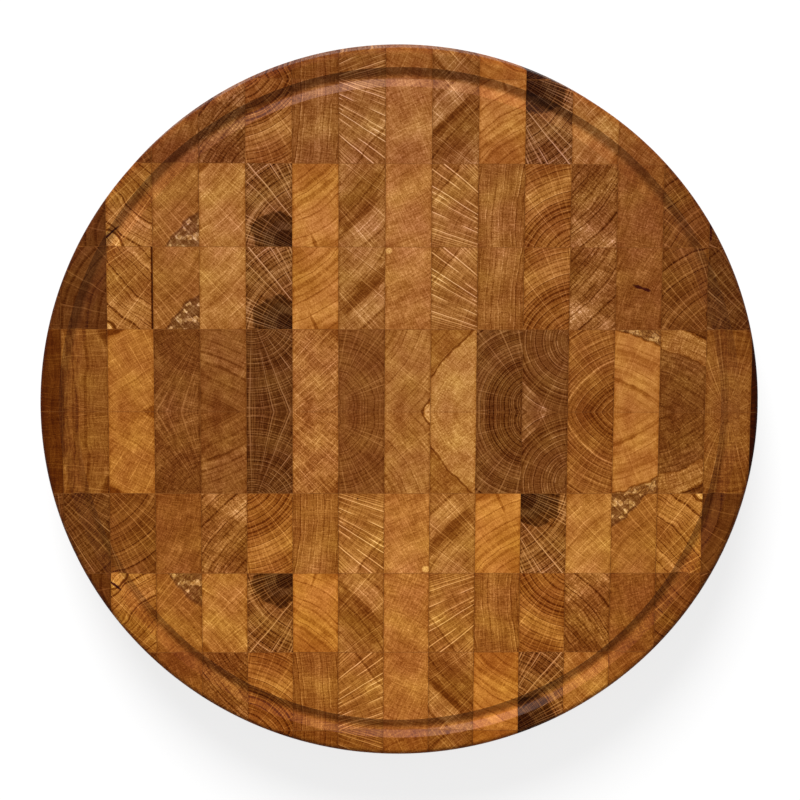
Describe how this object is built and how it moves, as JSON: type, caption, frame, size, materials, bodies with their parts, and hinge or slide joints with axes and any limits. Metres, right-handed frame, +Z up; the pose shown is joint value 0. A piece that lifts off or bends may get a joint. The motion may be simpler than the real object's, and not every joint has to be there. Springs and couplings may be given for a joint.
{
  "type": "round chopping block",
  "caption": "Round end-grain chopping block of glued oak blocks in mixed tones, with a rounded rim and a shallow juice groove near the edge.",
  "frame": {"origin": "centre of the round underside, on the surface that the block rests on", "axes": "+Z up through the block's thickness, +Y towards the edge that is at the top of the picture, along the length of the blocks, +X to the right across the staves"},
  "size_m": [0.35, 0.35, 0.04],
  "materials": {
    "oak_honey": "oiled satin",
    "oak_golden": "oiled satin",
    "oak_russet": "oiled satin",
    "oak_brown": "oiled satin",
    "oak_dark": "oiled satin",
    "glue": "matt"
  },
  "bodies": {
    "root": {"upper_stave_01": "oak_dark", "upper_stave_02": "oak_golden", "upper_stave_03": "oak_russet", "upper_stave_04": "oak_honey", "upper_stave_05": "oak_brown", "upper_stave_06": "oak_honey", "upper_stave_07": "oak_golden", "upper_stave_08": "oak_honey", "upper_stave_09": "oak_golden", "upper_stave_10": "oak_russet", "upper_stave_11": "oak_russet", "upper_stave_12": "oak_brown", "upper_stave_13": "oak_russet", "upper_stave_14": "oak_brown", "upper_stave_15": "oak_dark", "middle_stave_01": "oak_brown", "middle_stave_02": "oak_golden", "middle_stave_03": "oak_brown", "middle_stave_04": "oak_brown", "middle_stave_05": "oak_dark", "middle_stave_06": "oak_golden", "middle_stave_07": "oak_brown", "middle_stave_08": "oak_golden", "middle_stave_09": "oak_honey", "middle_stave_10": "oak_dark", "middle_stave_11": "oak_brown", "middle_stave_12": "oak_russet", "middle_stave_13": "oak_honey", "middle_stave_14": "oak_brown", "middle_stave_15": "oak_brown", "lower_stave_01": "oak_dark", "lower_stave_02": "oak_golden", "lower_stave_03": "oak_russet", "lower_stave_04": "oak_honey", "lower_stave_05": "oak_brown", "lower_stave_06": "oak_honey", "lower_stave_07": "oak_golden", "lower_stave_08": "oak_honey", "lower_stave_09": "oak_golden", "lower_stave_10": "oak_russet", "lower_stave_11": "oak_russet", "lower_stave_12": "oak_brown", "lower_stave_13": "oak_russet", "lower_stave_14": "oak_brown", "lower_stave_15": "oak_dark", "slice_glue_1": "glue", "slice_glue_2": "glue", "slice_glue_3": "glue", "slice_glue_4": "glue", "slice_glue_5": "glue", "slice_glue_6": "glue", "slice_glue_7": "glue", "slice_glue_8": "glue", "slice_glue_9": "glue", "upper_block_glue": "glue", "middle_block_glue": "glue", "lower_block_glue": "glue"}
  },
  "joints": []
}
